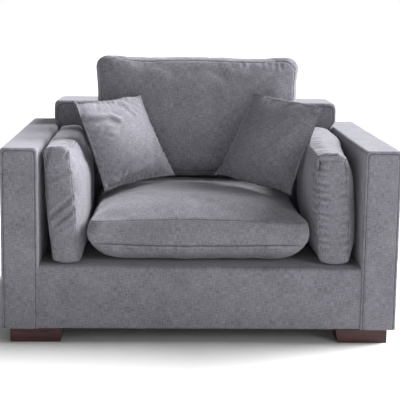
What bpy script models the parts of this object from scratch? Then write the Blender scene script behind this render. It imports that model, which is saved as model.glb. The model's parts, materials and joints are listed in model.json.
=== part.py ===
"""Upholstered lounge armchair: a timber frame with springs and padding inside sewn covers,
and six loose cushions (one seat, one back, two side bolsters, two scatter cushions).

Units are metres, +Z is up, the chair faces -Y, and the origin is on the floor under its middle.
"""
import math

import bmesh
import bpy
from mathutils import Matrix, Vector

# Overall sizes
WIDTH = 1.37
DEPTH = 0.98
ARM_TOP = 0.68
ARM_WIDTH = 0.128
FOOT_HEIGHT = 0.048
DECK_TOP = 0.27
FRONT = -DEPTH / 2
REAR = DEPTH / 2

# Back: its front face leans back from the deck
BACK_RAKE = math.radians(7.0)
DECK_DEPTH = 0.695
BACK_FOOT_Y = FRONT + DECK_DEPTH
BACK_REAR_Y = REAR - 0.006
BACK_TOP = 0.775
BACK_HALF_LOW = 0.556
BACK_HALF_HIGH = 0.574
BACK_WIDENS_AT = 0.684

# Materials' thicknesses and clearances
CLOTH = 0.002
GAP = 0.0005
ARM_FOAM = 0.015
BACK_FOAM = 0.030
FRONT_FOAM = 0.012
BOARD = 0.040
HARDBOARD = 0.004
EDGE_RADIUS = 0.020
STRAP_GAP = 0.0015

# Levels of the base
BASE_BOTTOM = 0.050
RAIL_BOTTOM = 0.052
RAIL_TOP = 0.212
SIDE_RAIL_TOP = 0.150
BRACE_TOP = 0.170
ARM_OPENING_TOP = RAIL_TOP + 0.010
BASE_RECESS = 0.008
DECK_PAD_BOTTOM = 0.2175

# Inner faces
ARM_INNER = WIDTH / 2 - ARM_WIDTH
TIMBER_INNER = ARM_INNER + CLOTH + ARM_FOAM + 2 * GAP
TIMBER_OUTER = WIDTH / 2 - CLOTH - ARM_FOAM - 2 * GAP
TIMBER_FRONT = FRONT + CLOTH + ARM_FOAM + 2 * GAP
TIMBER_REAR = REAR - CLOTH - ARM_FOAM - 2 * GAP
TIMBER_TOP = ARM_TOP - EDGE_RADIUS - 2 * GAP
FRONT_RAIL_Y = FRONT + BASE_RECESS + CLOTH + FRONT_FOAM + 2 * GAP
BACK_TIMBER_OFFSET = CLOTH + BACK_FOAM + 0.005
BACK_PANEL = 0.022
BACK_POST_OUTER = BACK_HALF_LOW - 2 * CLOTH
BACK_POST_INNER = BACK_POST_OUTER - BACK_PANEL
BACK_TIMBER_REAR = BACK_REAR_Y - CLOTH - GAP
PLANK = 0.025

# Springs and webbing
SPRING_WIRE = 0.004
SPRING_COUNT = 4
SPRING_SPAN = 0.78
SPRING_WAVE = 0.08
SPRING_SWING = 0.024
SPRING_STEPS_PER_WAVE = 6
STRAP_COUNT = 2
STRAP_WIDTH = 0.06
STRAP_THICKNESS = 0.003
STRAP_SPACING = 0.18
LOWEST_STRAP = DECK_TOP + 0.10

# Feet
FOOT_LENGTH = 0.18
FOOT_DEPTH = 0.10
FOOT_INSET = 0.028
FOOT_SETBACK = 0.014
FOOT_TAPER = 0.007

# Loose cushions, as width, height or depth, edge thickness and crown of each panel
SEAT_SIZE = (0.776, 0.660)
SEAT_EDGE = 0.104
SEAT_CROWN = 0.057
SEAT_SETBACK = 0.022
BACK_CUSHION_SIZE = (0.780, 0.442)
BACK_CUSHION_EDGE = 0.120
BACK_CUSHION_CROWN = 0.034
BACK_CUSHION_FOOT = 0.4915
SIDE_CUSHION_SIZE = (0.640, 0.392)
SIDE_CUSHION_EDGE = 0.092
SIDE_CUSHION_CROWN = 0.025
SIDE_CUSHION_SETBACK = 0.030
CUSHION_GAP = 0.004
SIDE_BULGE = 0.012
CORNER_PULL = 0.018
ZIP_HALF_HEIGHT = 0.10
ZIP_REACH = 0.8
SCATTER_THICKNESS = 0.13
SCATTER_RIM = 0.004
SCATTER_PULL = 0.067
SCATTER_FULLNESS = 0.6

# Corners of the scatter cushions in the order low left, low right, high right, high left.
# They stay in front of the back cushion's crown, so that each can be lifted away.
SCATTER_LEFT = (
    (-0.344, -0.183, 0.470),
    (-0.087, 0.030, 0.497),
    (-0.211, 0.060, 0.812),
    (-0.465, -0.220, 0.806),
)
SCATTER_RIGHT = (
    (0.081, 0.030, 0.497),
    (0.330, -0.222, 0.470),
    (0.462, -0.200, 0.793),
    (0.227, 0.062, 0.815),
)

FABRIC = ("grey_linen_weave", (0.17, 0.17, 0.195), 0.92, 0.0)
TIMBER = ("sawn_pine", (0.56, 0.39, 0.22), 0.75, 0.0)
PANEL = ("hardboard", (0.30, 0.18, 0.09), 0.80, 0.0)
STEEL = ("spring_steel", (0.36, 0.36, 0.37), 0.35, 1.0)
WEBBING = ("elastic_webbing", (0.10, 0.10, 0.11), 0.85, 0.0)
FOAM = ("polyurethane_foam", (0.80, 0.76, 0.60), 0.95, 0.0)
FIBRE = ("polyester_fibre", (0.86, 0.86, 0.85), 0.95, 0.0)
LINING = ("black_lining", (0.02, 0.02, 0.02), 0.95, 0.0)
MAHOGANY = ("stained_mahogany", (0.07, 0.022, 0.015), 0.35, 0.0)
ZIP_TAPE = ("zip_tape", (0.06, 0.06, 0.07), 0.70, 0.0)


def clear_scene():
    for old in list(bpy.data.objects):
        bpy.data.objects.remove(old, do_unlink=True)


def get_material(spec):
    name, colour, roughness, metallic = spec
    material = bpy.data.materials.get(name)
    if material is None:
        material = bpy.data.materials.new(name)
        material.use_nodes = True
        shader = material.node_tree.nodes["Principled BSDF"]
        shader.inputs["Base Color"].default_value = (*colour, 1.0)
        shader.inputs["Roughness"].default_value = roughness
        shader.inputs["Metallic"].default_value = metallic
    return material


def make_object(name, form, spec, smooth=False):
    """Turn a bmesh into a named object with its own material slot."""
    for face in form.faces:
        face.material_index = 0
        face.smooth = smooth
    mesh = bpy.data.meshes.new(name)
    form.to_mesh(mesh)
    form.free()
    mesh.materials.append(get_material(spec))
    piece = bpy.data.objects.new(name, mesh)
    bpy.context.scene.collection.objects.link(piece)
    return piece


def make_shell(name, outer, inner, spec, smooth=False):
    """Solid wall between two open skins whose points match one to one."""
    outer.verts.index_update()
    inner.verts.index_update()
    rims = [
        [(vert, vert.index) for vert in edge.verts] for edge in outer.edges if edge.is_boundary
    ]
    twins = [outer.verts.new(vert.co) for vert in inner.verts]
    for face in inner.faces:
        outer.faces.new([twins[vert.index] for vert in reversed(face.verts)])
    for (first, first_index), (second, second_index) in rims:
        outer.faces.new((first, second, twins[second_index], twins[first_index]))
    inner.free()
    bmesh.ops.recalc_face_normals(outer, faces=outer.faces)
    return make_object(name, outer, spec, smooth)


def surface_grid(us, vs, ws, place, marked=None):
    """Closed skin of a block. place(u, v, w) puts each grid point, and faces whose middle
    satisfies marked(u, v, w) get material index 1."""
    form = bmesh.new()
    grids = (us, vs, ws)
    verts = {}
    for axis in range(3):
        first, second = [other for other in range(3) if other != axis]
        for end in (grids[axis][0], grids[axis][-1]):
            for a_pair in zip(grids[first], grids[first][1:]):
                for b_pair in zip(grids[second], grids[second][1:]):
                    corners = []
                    for i, j in ((0, 0), (1, 0), (1, 1), (0, 1)):
                        key = [end, end, end]
                        key[first] = a_pair[i]
                        key[second] = b_pair[j]
                        key = tuple(key)
                        if key not in verts:
                            verts[key] = form.verts.new(place(*key))
                        corners.append(verts[key])
                    face = form.faces.new(corners)
                    middle = [end, end, end]
                    middle[first] = sum(a_pair) / 2
                    middle[second] = sum(b_pair) / 2
                    if marked and marked(*middle):
                        face.material_index = 1
    bmesh.ops.recalc_face_normals(form, faces=form.faces)
    return form


def straight(x, y, z):
    return Vector((x, y, z))


def box_form(low, high):
    xs, ys, zs = [sorted(pair) for pair in zip(low, high)]
    return surface_grid(xs, ys, zs, straight)


def make_box(name, low, high, spec):
    return make_object(name, box_form(low, high), spec)


def back_plane(z):
    """Y of the back's raked front face at height z."""
    return BACK_FOOT_Y + (z - DECK_TOP) * math.tan(BACK_RAKE)


def raked_box(name, half_span, offsets, levels, spec):
    """Board across or along the back, its faces set back from the raked plane by offsets."""
    def place(x, offset, z):
        return Vector((x, back_plane(z) + offset, z))
    return make_object(name, surface_grid(half_span, offsets, levels, place), spec)


def both_sides(build):
    """Call build(name_ending, side) for the left (-1) and the right (+1)."""
    build("left", -1)
    build("right", 1)


# ---------------------------------------------------------------- timber frame


def make_arm_frame(ending, side):
    inner = side * TIMBER_INNER
    outer = side * TIMBER_OUTER
    rail_bottom = TIMBER_TOP - BOARD
    post_back = TIMBER_FRONT + BOARD
    post_front = TIMBER_REAR - BOARD
    make_box(f"arm_front_post_{ending}", (inner, TIMBER_FRONT, RAIL_BOTTOM),
             (outer, post_back, rail_bottom - GAP), TIMBER)
    make_box(f"arm_rear_post_{ending}", (inner, post_front, RAIL_BOTTOM),
             (outer, TIMBER_REAR, rail_bottom - GAP), TIMBER)
    make_box(f"arm_top_rail_{ending}", (inner, TIMBER_FRONT, rail_bottom),
             (outer, TIMBER_REAR, TIMBER_TOP), TIMBER)
    make_box(f"side_rail_{ending}", (inner, post_back + GAP, RAIL_BOTTOM),
             (outer, post_front - GAP, SIDE_RAIL_TOP), TIMBER)
    make_box(f"arm_inner_panel_{ending}", (inner, post_back + GAP, SIDE_RAIL_TOP + GAP),
             (inner + side * HARDBOARD, post_front - GAP, rail_bottom - GAP), PANEL)


def make_seat_frame():
    reach = TIMBER_INNER - GAP
    between = BACK_POST_INNER - GAP
    front_rail_back = FRONT_RAIL_Y + BOARD
    make_box("front_rail", (-reach, FRONT_RAIL_Y, RAIL_BOTTOM),
             (reach, front_rail_back, RAIL_TOP), TIMBER)
    raked_box("rear_rail", (-between, between),
              (BACK_TIMBER_OFFSET, BACK_TIMBER_OFFSET + PLANK), (RAIL_BOTTOM, RAIL_TOP), TIMBER)
    make_box("centre_brace", (-BOARD / 2, front_rail_back + GAP, RAIL_BOTTOM),
             (BOARD / 2, back_plane(RAIL_BOTTOM) + BACK_TIMBER_OFFSET - GAP, BRACE_TOP), TIMBER)


def make_back_frame():
    """Two side panels with a raked front edge, a plank along their tops and a rail at the foot."""
    top = BACK_TOP - 0.030
    foot_rail_top = RAIL_BOTTOM + 0.060
    between = BACK_POST_INNER - GAP

    def place(x, behind, z):
        front = back_plane(z) + BACK_TIMBER_OFFSET
        return Vector((x, front + behind * (BACK_TIMBER_REAR - front), z))

    for ending, side in (("left", -1), ("right", 1)):
        span = sorted((side * BACK_POST_INNER, side * BACK_POST_OUTER))
        panel = surface_grid(span, (0.0, 1.0), (RAIL_BOTTOM, top), place)
        make_object(f"back_side_panel_{ending}", panel, TIMBER)
    top_plank = surface_grid((-between, between), (0.0, 1.0), (top - PLANK, top), place)
    make_object("back_top_rail", top_plank, TIMBER)
    make_box("back_bottom_rail", (-between, BACK_TIMBER_REAR - PLANK, RAIL_BOTTOM),
             (between, BACK_TIMBER_REAR, foot_rail_top), TIMBER)


def make_corner_block(name, side, corner_x, wall_y):
    """Glue block in the corner behind a cross rail, whose rear face is at y = wall_y(z)."""
    leg = 0.06
    low = RAIL_BOTTOM + 0.010
    outline = ((0.0, 0.0), (leg, 0.0), (0.0, leg))
    form = bmesh.new()
    rings = []
    for z in (low, low + 0.10):
        rings.append([
            form.verts.new((side * (corner_x - inwards), wall_y(z) + back, z))
            for inwards, back in outline
        ])
    form.faces.new(rings[0])
    form.faces.new(rings[1])
    for index in range(3):
        after = (index + 1) % 3
        form.faces.new((rings[0][index], rings[0][after], rings[1][after], rings[1][index]))
    bmesh.ops.recalc_face_normals(form, faces=form.faces)
    make_object(name, form, TIMBER)


def make_corner_blocks():
    front_corner = TIMBER_INNER - GAP
    rear_corner = BACK_POST_INNER - GAP

    def behind_front_rail(z):
        return FRONT_RAIL_Y + BOARD + GAP

    def behind_rear_rail(z):
        return back_plane(z) + BACK_TIMBER_OFFSET + PLANK + GAP

    for ending, side in (("left", -1), ("right", 1)):
        make_corner_block(f"corner_block_front_{ending}", side, front_corner, behind_front_rail)
        make_corner_block(f"corner_block_rear_{ending}", side, rear_corner, behind_rear_rail)


# ---------------------------------------------------------- springs and webbing


def make_seat_springs():
    """Sinuous springs, clipped to the tops of the front and rear rails."""
    start_y = FRONT_RAIL_Y + BOARD / 2
    end_y = back_plane(RAIL_TOP) + CLOTH + BACK_FOAM + 0.015
    steps = round((end_y - start_y) / SPRING_WAVE * SPRING_STEPS_PER_WAVE)
    height = RAIL_TOP + SPRING_WIRE / 2 + GAP
    for index in range(SPRING_COUNT):
        middle = (index / (SPRING_COUNT - 1) - 0.5) * SPRING_SPAN
        curve = bpy.data.curves.new(f"seat_spring_{index + 1}", "CURVE")
        curve.dimensions = "3D"
        curve.bevel_depth = SPRING_WIRE / 2
        curve.bevel_resolution = 0
        curve.use_fill_caps = True
        wire = curve.splines.new("POLY")
        wire.points.add(steps)
        for step, point in enumerate(wire.points):
            swing = SPRING_SWING * math.sin(math.tau * step / SPRING_STEPS_PER_WAVE)
            y = start_y + (end_y - start_y) * step / steps
            point.co = (middle + swing, y, height, 1.0)
        curve.materials.append(get_material(STEEL))
        spring = bpy.data.objects.new(f"seat_spring_{index + 1}", curve)
        bpy.context.scene.collection.objects.link(spring)


def make_back_straps():
    """Elastic webbing across the front edges of the back posts."""
    front = CLOTH + BACK_FOAM + STRAP_GAP
    reach = BACK_POST_OUTER
    for index in range(STRAP_COUNT):
        low = LOWEST_STRAP + index * STRAP_SPACING
        raked_box(f"back_strap_{index + 1}", (-reach, reach), (front, front + STRAP_THICKNESS),
                  (low, low + STRAP_WIDTH), WEBBING)


# -------------------------------------------------------------- padding and covers


def arm_skin(side, inset):
    """Skin of an arm, open below and, beside the rails, towards the seat."""
    radius = EDGE_RADIUS - inset
    inner = side * (ARM_INNER + inset)
    outer = side * (WIDTH / 2 - inset)
    xs = sorted((inner, outer))
    ys = (FRONT + inset, REAR - inset)
    zs = (BASE_BOTTOM, ARM_OPENING_TOP, ARM_TOP - inset)
    skin = surface_grid(xs, ys, zs, straight)
    opened = []
    for face in skin.faces:
        middle = face.calc_center_median()
        below = middle.z < BASE_BOTTOM + GAP
        inner_low = middle.z < ARM_OPENING_TOP and abs(middle.x - inner) < GAP
        if below or inner_low:
            opened.append(face)
    bmesh.ops.delete(skin, geom=opened, context="FACES")
    near_top = ARM_TOP - inset - GAP
    top_edges = [edge for edge in skin.edges if all(v.co.z > near_top for v in edge.verts)]
    bmesh.ops.bevel(skin, geom=top_edges, offset=radius, segments=3, profile=0.5, affect="EDGES")
    return skin


def make_arm_covers(ending, side):
    foam_outer = CLOTH + GAP
    foam_inner = foam_outer + ARM_FOAM
    make_shell(f"arm_cover_{ending}", arm_skin(side, 0.0), arm_skin(side, CLOTH), FABRIC)
    make_shell(f"arm_foam_{ending}", arm_skin(side, foam_outer), arm_skin(side, foam_inner), FOAM)


def make_front_padding():
    """Foam on the face of the front rail, rounded along its top front edge."""
    low = (-(ARM_INNER - 2 * GAP), FRONT_RAIL_Y - FRONT_FOAM - GAP, RAIL_BOTTOM)
    high = (ARM_INNER - 2 * GAP, FRONT_RAIL_Y - GAP, DECK_TOP - CLOTH - GAP)
    form = box_form(low, high)
    front_top = [
        edge for edge in form.edges
        if all(v.co.z > high[2] - GAP and v.co.y < low[1] + GAP for v in edge.verts)
    ]
    bmesh.ops.bevel(form, geom=front_top, offset=FRONT_FOAM - CLOTH - GAP, segments=3,
                    profile=0.5, affect="EDGES")
    make_object("front_rail_foam", form, FOAM)


def make_deck():
    reach = ARM_INNER - 2 * GAP
    rear = back_plane(DECK_PAD_BOTTOM) - GAP
    make_box("deck_pad", (-reach, FRONT_RAIL_Y, DECK_PAD_BOTTOM),
             (reach, rear, DECK_TOP - CLOTH - GAP), FIBRE)


def base_skin(inset):
    """Skin down the front of the base and back over the deck."""
    reach = ARM_INNER - GAP
    front = FRONT + BASE_RECESS + inset
    rear = back_plane(DECK_PAD_BOTTOM) - GAP
    skin = surface_grid((-reach, reach), (front, rear), (BASE_BOTTOM, DECK_TOP - inset), straight)
    kept_front = front + GAP
    kept_top = DECK_TOP - inset - GAP
    opened = [
        face for face in skin.faces
        if face.calc_center_median().y > kept_front and face.calc_center_median().z < kept_top
    ]
    bmesh.ops.delete(skin, geom=opened, context="FACES")
    fold = [
        edge for edge in skin.edges
        if all(v.co.z > kept_top and v.co.y < kept_front for v in edge.verts)
    ]
    bmesh.ops.bevel(skin, geom=fold, offset=FRONT_FOAM - inset, segments=3, profile=0.5,
                    affect="EDGES")
    return skin


def make_base_cover():
    make_shell("base_cover", base_skin(0.0), base_skin(CLOTH), FABRIC)


def back_skin(inset):
    """Skin of the back: front, sides and top above the deck, and a rear panel to the base."""
    open_level = DECK_TOP + 0.0025
    top = BACK_TOP - inset
    rear = BACK_REAR_Y - inset

    def place(side, behind, z):
        half = BACK_HALF_HIGH if z > BACK_WIDENS_AT else BACK_HALF_LOW
        front = back_plane(z) + inset
        return Vector((side * (half - inset), front + behind * (rear - front), z))

    levels = (BASE_BOTTOM, open_level, BACK_WIDENS_AT, BACK_WIDENS_AT + 0.010, top)
    skin = surface_grid((-1.0, 1.0), (0.0, 1.0), levels, place)
    opened = []
    for face in skin.faces:
        middle = face.calc_center_median()
        if middle.z < open_level and middle.y < rear - GAP:
            opened.append(face)
    bmesh.ops.delete(skin, geom=opened, context="FACES")
    top_edges = [edge for edge in skin.edges if all(v.co.z > top - GAP for v in edge.verts)]
    bmesh.ops.bevel(skin, geom=top_edges, offset=EDGE_RADIUS - inset, segments=3, profile=0.5,
                    affect="EDGES")
    return skin


def make_back_cover():
    make_shell("back_cover", back_skin(0.0), back_skin(CLOTH), FABRIC)


def make_back_foam():
    reach = BACK_POST_OUTER
    raked_box("back_foam", (-reach, reach), (CLOTH + GAP, CLOTH + GAP + BACK_FOAM - 0.001),
              (DECK_TOP + 0.005, BACK_TOP - EDGE_RADIUS - CLOTH), FOAM)


def make_dust_cover():
    """Black lining stapled under the rails, above the feet."""
    margin = 0.010
    make_box("dust_cover", (-WIDTH / 2 + margin, FRONT + BASE_RECESS + margin, FOOT_HEIGHT + GAP),
             (WIDTH / 2 - margin, REAR - margin, BASE_BOTTOM - GAP), LINING)


# ------------------------------------------------------------------------- feet


def make_foot(name, side, low_y):
    """Low block foot whose inner end tapers towards the floor."""
    outer = side * (WIDTH / 2 - FOOT_INSET)

    def place(along, y, z):
        taper = FOOT_TAPER * (1 - z / FOOT_HEIGHT)
        length = FOOT_LENGTH - taper
        return Vector((outer - side * along * length, y, z))

    form = surface_grid((0.0, 1.0), (low_y, low_y + FOOT_DEPTH), (0.0, FOOT_HEIGHT), place)
    make_object(name, form, MAHOGANY)


def make_feet():
    front_y = FRONT + FOOT_SETBACK
    rear_y = REAR - FOOT_SETBACK - FOOT_DEPTH
    for ending, side in (("left", -1), ("right", 1)):
        make_foot(f"foot_front_{ending}", side, front_y)
        make_foot(f"foot_rear_{ending}", side, rear_y)


# ---------------------------------------------------------------- loose cushions


def grid_steps(count):
    """count spans from -1 to 1, shorter towards the ends, where a cushion curves most."""
    return tuple(math.sin(math.pi * (index / count - 0.5)) for index in range(count + 1))


def box_cushion_form(size, edge, crown, to_chair, flat_power):
    """Box cushion with a gusset of height edge, crowned panels at +w and -w, and a zip in
    the gusset at +v. The panel at -w is flatter where it rests."""
    width, length = size

    def place(u, v, w):
        power = flat_power if w < 0 else 4
        swell = (1 - abs(u) ** power) * (1 - abs(v) ** (power + 2))
        bulge = SIDE_BULGE * (1 - w * w)
        pull = CORNER_PULL * (abs(u) * abs(v)) ** 4
        x = u * (width / 2 + bulge) - math.copysign(pull, u)
        y = v * (length / 2 + bulge) - math.copysign(pull, v)
        z = w * (edge / 2 + crown * swell)
        return to_chair @ Vector((x, y, z))

    def in_zip(u, v, w):
        return v == 1.0 and abs(w) < ZIP_HALF_HEIGHT and abs(u) < ZIP_REACH

    heights = (-1.0, -ZIP_HALF_HEIGHT, ZIP_HALF_HEIGHT, 1.0)
    return surface_grid(grid_steps(6), grid_steps(6), heights, place, in_zip)


def scatter_form(corners):
    """Square cushion stitched from two panels: thin at its rim, fat in the middle."""
    low_left, low_right, high_right, high_left = [Vector(corner) for corner in corners]
    normal = (low_right - high_left).cross(high_right - low_left).normalized()

    def place(u, v, w):
        pulled_u = u * (1 - SCATTER_PULL * (1 - v * v) * abs(u))
        pulled_v = v * (1 - SCATTER_PULL * (1 - u * u) * abs(v))
        across = (pulled_u + 1) / 2
        up = (pulled_v + 1) / 2
        low = low_left.lerp(low_right, across)
        high = high_left.lerp(high_right, across)
        swell = ((1 - u * u) * (1 - v * v)) ** SCATTER_FULLNESS
        half = SCATTER_RIM + (SCATTER_THICKNESS / 2 - SCATTER_RIM) * swell
        return low.lerp(high, up) + normal * (w * half)

    def in_zip(u, v, w):
        return v == -1.0 and abs(u) < ZIP_REACH

    return surface_grid(grid_steps(6), grid_steps(6), (-1.0, 1.0), place, in_zip)


def moved_inwards(form, distance):
    """Copy of a closed form with its walls moved in by distance."""
    copy = form.copy()
    copy.normal_update()
    moves = [vert.normal * vert.calc_shell_factor() * distance for vert in copy.verts]
    for vert, move in zip(copy.verts, moves):
        vert.co -= move
    return copy


def delete_marked(form, index):
    """Delete the faces with this material index."""
    marked = [face for face in form.faces if face.material_index == index]
    bmesh.ops.delete(form, geom=marked, context="FACES")


def zip_skin(form):
    """The zip's faces, drawn back from the edges of its slot."""
    skin = form.copy()
    delete_marked(skin, 0)
    ring = bmesh.ops.inset_region(skin, faces=skin.faces[:], thickness=GAP, use_boundary=True,
                                  use_even_offset=True)["faces"]
    bmesh.ops.delete(skin, geom=ring, context="FACES")
    return skin


def make_cushion(name, form):
    """Cover with a zip slot, the zip in it, and the core inside. Its curved quads are split
    once, so that every layer inside it has the same folds."""
    bmesh.ops.triangulate(form, faces=form.faces[:])
    lining = moved_inwards(form, CLOTH)
    zip_strip = make_shell(f"{name}_zip", zip_skin(form), zip_skin(lining), ZIP_TAPE)
    core = make_object(f"{name}_core", moved_inwards(form, CLOTH + GAP), FIBRE, smooth=True)
    delete_marked(form, 1)
    delete_marked(lining, 1)
    cover = make_shell(f"{name}_cover", form, lining, FABRIC, smooth=True)
    return [cover, zip_strip, core]


def hang_on_empty(name, pieces, pivot):
    """Parent pieces, whose meshes are in chair coordinates, to an empty on their joint's axis."""
    empty = bpy.data.objects.new(f"{name}_axis", None)
    empty.location = pivot
    bpy.context.scene.collection.objects.link(empty)
    for piece in pieces:
        piece.data.transform(Matrix.Translation(-Vector(pivot)))
        piece.parent = empty


def make_seat_cushion():
    thickness = SEAT_EDGE + 2 * SEAT_CROWN
    middle = Vector((0.0, FRONT + SEAT_SETBACK + SEAT_SIZE[1] / 2 + SIDE_BULGE,
                     DECK_TOP + thickness / 2 + 2 * GAP))
    form = box_cushion_form(SEAT_SIZE, SEAT_EDGE, SEAT_CROWN, Matrix.Translation(middle), 8)
    hang_on_empty("seat_cushion", make_cushion("seat_cushion", form), middle)


def make_back_cushion():
    """Stands on the seat cushion and leans on the back."""
    thickness = BACK_CUSHION_EDGE + 2 * BACK_CUSHION_CROWN
    centre_z = BACK_CUSHION_FOOT + (BACK_CUSHION_SIZE[1] / 2 + SIDE_BULGE) * math.cos(BACK_RAKE)
    centre_y = back_plane(centre_z) - (thickness / 2 + CUSHION_GAP) / math.cos(BACK_RAKE)
    middle = Vector((0.0, centre_y, centre_z))
    # local v runs down the cushion so that the zip is at its foot, and local w faces forward
    turn = Matrix.Rotation(-BACK_RAKE, 4, "X") @ Matrix.Rotation(math.radians(90), 4, "X")
    turn = turn @ Matrix.Rotation(math.radians(180), 4, "Z")
    form = box_cushion_form(BACK_CUSHION_SIZE, BACK_CUSHION_EDGE, BACK_CUSHION_CROWN,
                            Matrix.Translation(middle) @ turn, 6)
    hang_on_empty("back_cushion", make_cushion("back_cushion", form), middle)


def make_side_cushion(ending, side):
    """Bolster standing between the arm and the seat cushion."""
    thickness = SIDE_CUSHION_EDGE + 2 * SIDE_CUSHION_CROWN
    middle = Vector((side * (ARM_INNER - CUSHION_GAP - thickness / 2),
                     FRONT + SIDE_CUSHION_SETBACK + SIDE_BULGE + SIDE_CUSHION_SIZE[0] / 2,
                     DECK_TOP + 2 * GAP + SIDE_BULGE + SIDE_CUSHION_SIZE[1] / 2))
    # local u is up, local v runs to the rear, local w faces the seat on the left side
    turn = Matrix(((0, 0, 1, 0), (0, 1, 0, 0), (-1, 0, 0, 0), (0, 0, 0, 1)))
    size = (SIDE_CUSHION_SIZE[1], SIDE_CUSHION_SIZE[0])
    form = box_cushion_form(size, SIDE_CUSHION_EDGE, SIDE_CUSHION_CROWN,
                            Matrix.Translation(middle) @ turn, 4)
    name = f"side_cushion_{ending}"
    hang_on_empty(name, make_cushion(name, form), middle)


def make_scatter_cushions():
    for ending, corners in (("left", SCATTER_LEFT), ("right", SCATTER_RIGHT)):
        middle = sum((Vector(corner) for corner in corners), Vector()) / 4
        name = f"scatter_cushion_{ending}"
        hang_on_empty(name, make_cushion(name, scatter_form(corners)), middle)


def main():
    clear_scene()
    both_sides(make_arm_frame)
    make_seat_frame()
    make_back_frame()
    make_corner_blocks()
    make_seat_springs()
    make_back_straps()
    both_sides(make_arm_covers)
    make_front_padding()
    make_deck()
    make_base_cover()
    make_back_foam()
    make_back_cover()
    make_dust_cover()
    make_feet()
    make_seat_cushion()
    make_back_cushion()
    both_sides(make_side_cushion)
    make_scatter_cushions()


main()
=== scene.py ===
"""Looks of the upholstered armchair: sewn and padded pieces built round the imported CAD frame.

Metres throughout, in the CAD's own frame: +Z is up, the chair faces -Y, +X is on the right seen
from the front. Every soft piece is a sewn box or a two-panel pillow on a grid that runs from -1 to
1 along u, v and w. The loose ones are inflated as cloth. Seams, puckers and creases are pressed
into a finer mesh afterwards.
"""

import json
import math

import bmesh
import bpy
import numpy as np
from mathutils import Matrix, Vector, noise
from mathutils.bvhtree import BVHTree


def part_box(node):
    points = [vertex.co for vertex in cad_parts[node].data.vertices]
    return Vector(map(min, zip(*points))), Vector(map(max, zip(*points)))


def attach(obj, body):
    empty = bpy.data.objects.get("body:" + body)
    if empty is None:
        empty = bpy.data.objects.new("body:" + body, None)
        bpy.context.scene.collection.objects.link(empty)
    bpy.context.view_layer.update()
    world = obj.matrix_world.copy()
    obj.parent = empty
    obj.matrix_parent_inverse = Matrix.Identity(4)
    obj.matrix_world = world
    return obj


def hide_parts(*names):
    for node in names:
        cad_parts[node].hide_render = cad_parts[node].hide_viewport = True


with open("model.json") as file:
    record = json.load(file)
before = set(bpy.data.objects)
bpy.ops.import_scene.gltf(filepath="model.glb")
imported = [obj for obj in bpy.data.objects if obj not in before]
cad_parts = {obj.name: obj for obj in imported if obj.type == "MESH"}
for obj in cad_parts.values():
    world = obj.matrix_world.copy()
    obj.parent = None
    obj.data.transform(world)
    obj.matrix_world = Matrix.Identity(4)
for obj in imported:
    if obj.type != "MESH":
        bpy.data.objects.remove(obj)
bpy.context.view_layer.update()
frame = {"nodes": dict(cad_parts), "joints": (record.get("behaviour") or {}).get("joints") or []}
RAKE = Vector(next(j["axis"] for j in frame["joints"] if j["name"] == "back_cushion_lift"))
RIGHT = Vector((1, 0, 0))
REARWARDS = Vector((0, 1, 0))
UP = Vector((0, 0, 1))

# Sewn meshes: the grid's spacing, and its closer rows beside each seam. A grid point lies on a
# panel, not on the gusset, when its w is further out than PANEL
GRID_STEP = 0.013
SEAM_STEPS = (0.0, 0.003, 0.007, 0.012)
PANEL = 0.9999
TINY = 1e-9

# Sewing: the groove along a seam, the row of top-stitching beside it, gathers, and how far off
# the cloth a crease's line may lie
SEAM_DEPTH = 0.0028
SEAM_WIDTH = 0.0034
STITCH_OFFSET = 0.0075
STITCH_PITCH = 0.0045
GATHER_WIDTH = 0.006
CREASE_REACH = 0.016

# How broad the lumps in a filling are, and how fine the puckers beside a seam, which die away
# over their reach
LUMP = 0.16
SMALL_LUMP = 0.05
PUCKER = 0.011
PUCKER_REACH = 0.03

# Inflating the loose cushions as cloth
CLOTH_STEPS = 20
CLOTH_MASS = 0.25
CLOTH_PRESSURE = 4.0
CLOTH_STRETCH = 18.0
CLOTH_SHEAR = 8.0
CLOTH_BENDING = 0.4
GATHERED_RIM = 0.004

# A zip's profile across its tape, as grid offset and height over the cloth; how far the zip
# reaches along the grid, in how many steps, and how far it lies off the cloth
ZIP_PROFILE = ((-0.11, 0.0002), (-0.05, 0.0008), (-0.02, 0.0022), (0.02, 0.0022), (0.05, 0.0008),
               (0.11, 0.0002))
ZIP_REACH = 0.78
ZIP_STEPS = 60
ZIP_LIFT = 0.0004

# Gap kept beside a neighbour
CLEAR = 0.0008

# How far the seat cushion's sides pull in, so that the side cushions can swell into that room
SIDE_PULL = 0.011

# How each side cushion is set. The strip is the gusset between its two panels. It is shifted and
# leans towards the seat, and loses a share of both at the rear. Its top front corner drops, its
# foot spreads, and it may pass its CAD box by some room on the seat's side
SIDE_CUSHIONS = {
    "left": {
        "strip": 0.100, "shift": -0.0030, "lean": -0.013, "lost": 0.0, "drop": 0.004,
        "spread": 0.015, "outer_crown": 0.010, "inner_crown": 0.038, "room": 0.014,
    },
    "right": {
        "strip": 0.114, "shift": 0.0225, "lean": 0.0125, "lost": 1.0, "drop": 0.024,
        "spread": 0.006, "outer_crown": 0.034, "inner_crown": 0.024, "room": 0.031,
    },
}

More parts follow.
